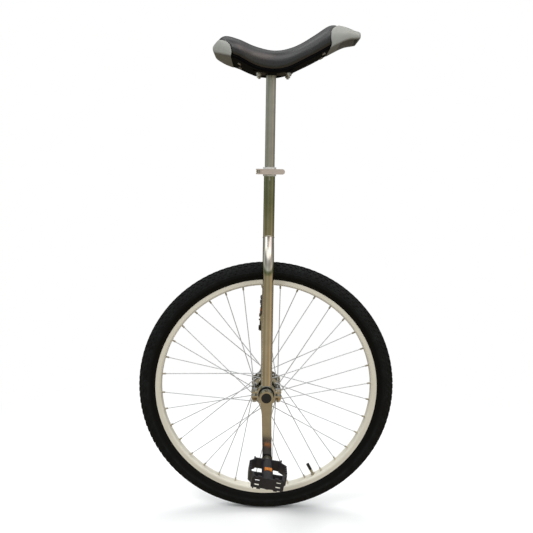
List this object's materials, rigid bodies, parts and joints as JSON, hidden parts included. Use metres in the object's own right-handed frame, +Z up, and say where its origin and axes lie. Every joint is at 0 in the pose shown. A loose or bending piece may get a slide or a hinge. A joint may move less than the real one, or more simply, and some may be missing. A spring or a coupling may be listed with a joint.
{
  "type": "unicycle",
  "caption": "Freestyle unicycle: spoked wheel driven directly by cranks, forked frame, height-adjustable post and a curved saddle with a front grip handle.",
  "frame": {"origin": "on the ground, straight below the middle of the wheel axle, where the tyre touches", "axes": "+X is the riding direction, towards the saddle's grip handle; +Y is the rider's left, along the axle; +Z is up"},
  "size_m": [0.5997, 0.3812, 1.1219],
  "materials": {
    "frame_chrome": "bright chrome plate",
    "crank_chrome": "bright chrome plate",
    "zinc_steel": "bright zinc plate",
    "yellow_zinc": "yellow zinc plate",
    "bearing_steel": "ground bearing steel",
    "seal_rubber": "moulded rubber",
    "clamp_alloy": "polished alloy",
    "clamp_brass": "turned brass",
    "tyre_rubber": "black tyre rubber",
    "tube_rubber": "butyl rubber",
    "tape_rubber": "blue rim tape",
    "rim_steel": "silver-cream lacquered steel",
    "spoke_steel": "drawn zinc-plated wire",
    "nipple_brass": "nickel-plated brass",
    "hub_chrome": "bright chrome plate",
    "axle_steel": "machined steel",
    "valve_nickel": "nickel-plated brass",
    "black_plastic": "moulded black plastic",
    "pedal_plastic": "moulded black plastic",
    "amber_lens": "amber prismatic lens",
    "bush_nylon": "natural nylon",
    "post_steel": "plated steel tube",
    "bracket_steel": "black paint on steel plate",
    "saddle_vinyl": "black vinyl with a soft sheen",
    "saddle_foam": "moulded foam",
    "saddle_plastic": "moulded black plastic",
    "bumper_plastic": "silver-grey plastic"
  },
  "bodies": {
    "frame": {"frame_tube": "frame_chrome", "right_leg": "frame_chrome", "left_leg": "frame_chrome", "right_bearing_seat": "frame_chrome", "left_bearing_seat": "frame_chrome", "right_bearing_cap": "frame_chrome", "left_bearing_cap": "frame_chrome", "cap_bolts": "zinc_steel", "cap_nuts": "yellow_zinc", "bearing_outer_rings": "bearing_steel", "bearing_seals": "seal_rubber", "clamp_collar": "clamp_alloy", "clamp_washer": "clamp_brass"},
    "wheel": {"tyre": "tyre_rubber", "inner_tube": "tube_rubber", "rim_tape": "tape_rubber", "rim": "rim_steel", "spokes": "spoke_steel", "spoke_nipples": "nipple_brass", "hub_shell": "hub_chrome", "axle": "axle_steel", "bearing_inner_rings": "bearing_steel", "valve_stem": "valve_nickel", "right_crank": "crank_chrome", "left_crank": "crank_chrome", "crank_bolts": "zinc_steel", "dust_caps": "black_plastic", "right_pedal_spindle": "axle_steel", "left_pedal_spindle": "axle_steel", "pedal_locknuts": "axle_steel"},
    "valve_cap": {"valve_cap": "black_plastic"},
    "right_ball_set": {"right_bearing_balls": "bearing_steel", "right_bearing_cage": "bearing_steel"},
    "left_ball_set": {"left_bearing_balls": "bearing_steel", "left_bearing_cage": "bearing_steel"},
    "right_pedal": {"right_pedal_body": "pedal_plastic", "right_pedal_end_cap": "pedal_plastic", "right_pedal_reflectors": "amber_lens", "right_pedal_bushes": "bush_nylon"},
    "left_pedal": {"left_pedal_body": "pedal_plastic", "left_pedal_end_cap": "pedal_plastic", "left_pedal_reflectors": "amber_lens", "left_pedal_bushes": "bush_nylon"},
    "saddle": {"seat_post": "post_steel", "post_bracket": "bracket_steel", "saddle_bolts": "zinc_steel", "saddle_nuts": "zinc_steel", "saddle_base": "saddle_plastic", "saddle_foam": "saddle_foam", "saddle_cover": "saddle_vinyl", "front_handle": "bumper_plastic", "rear_bumper": "bumper_plastic", "handle_screws": "zinc_steel"},
    "clamp_skewer": {"clamp_skewer": "zinc_steel", "clamp_pivot_pin": "zinc_steel"},
    "clamp_lever": {"clamp_lever": "clamp_alloy"},
    "clamp_nut": {"clamp_nut": "clamp_alloy"}
  },
  "joints": [
    {"name": "wheel_spin", "type": "hinge", "parent": "frame", "child": "wheel", "pos_m": [0, 0, 0.3], "axis": [0, 1, 0], "continuous": true},
    {"name": "right_ball_orbit", "type": "hinge", "parent": "frame", "child": "right_ball_set", "pos_m": [0, -0.048, 0.3], "axis": [0, 1, 0], "continuous": true},
    {"name": "left_ball_orbit", "type": "hinge", "parent": "frame", "child": "left_ball_set", "pos_m": [0, 0.048, 0.3], "axis": [0, 1, 0], "continuous": true},
    {"name": "right_pedal_spin", "type": "hinge", "parent": "wheel", "child": "right_pedal", "pos_m": [0.00393, -0.141, 0.15005], "axis": [0, 1, 0], "continuous": true},
    {"name": "left_pedal_spin", "type": "hinge", "parent": "wheel", "child": "left_pedal", "pos_m": [-0.00393, 0.141, 0.44995], "axis": [0, 1, 0], "continuous": true},
    {"name": "valve_cap_pull", "type": "slide", "parent": "wheel", "child": "valve_cap", "axis": [-0.4741, 0, 0.8805], "range_m": [0, 0.016]},
    {"name": "saddle_height", "type": "slide", "parent": "frame", "child": "saddle", "axis": [0, 0, 1], "range_m": [-0.065, 0.04]},
    {"name": "lever_swing", "type": "hinge", "parent": "clamp_skewer", "child": "clamp_lever", "pos_m": [-0.024, -0.0176, 0.805], "axis": [0, 0, -1], "range_deg": [0, 180]},
    {"name": "skewer_travel", "type": "slide", "parent": "frame", "child": "clamp_skewer", "axis": [0, 1, 0], "range_m": [0, 0.0016]},
    {"name": "clamp_nut_turn", "type": "hinge", "parent": "clamp_skewer", "child": "clamp_nut", "pos_m": [-0.024, 0, 0.805], "axis": [0, 1, 0], "continuous": true}
  ],
  "couplings": [
    {"joint": "right_ball_orbit", "follows": "wheel_spin", "ratio": 0.3842},
    {"joint": "left_ball_orbit", "follows": "wheel_spin", "ratio": 0.3842},
    {"joint": "skewer_travel", "follows": "lever_swing", "m_per_rad": 0.0005093}
  ]
}
